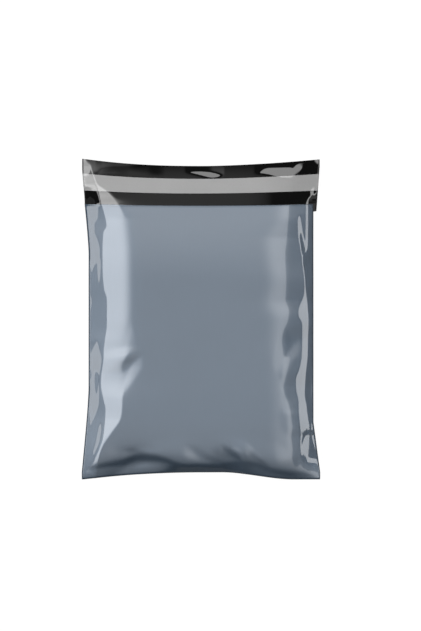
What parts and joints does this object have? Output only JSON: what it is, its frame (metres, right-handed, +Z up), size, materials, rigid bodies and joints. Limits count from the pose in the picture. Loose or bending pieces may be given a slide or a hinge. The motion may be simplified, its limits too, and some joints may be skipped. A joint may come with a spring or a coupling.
{
  "type": "poly mailer bag",
  "caption": "Filled plastic film mailing bag lying on its back, its flap open, with a release liner over the adhesive line.",
  "frame": {"origin": "centre of the bag's outline in plan, on the surface that it lies on", "axes": "+Y from the base towards the flap, +X to the right seen from above with the flap away from the viewer, +Z up"},
  "size_m": [0.2514, 0.3384, 0.045],
  "materials": {
    "grey_film": "glossy polythene film, grey outside and black inside",
    "hot_melt_adhesive": "tacky translucent hot melt",
    "release_liner": "thin silicone-coated film, satin light grey"
  },
  "bodies": {
    "root": {"mailer_bag": "grey_film", "adhesive_strip": "hot_melt_adhesive", "release_liner": "release_liner"}
  },
  "joints": []
}
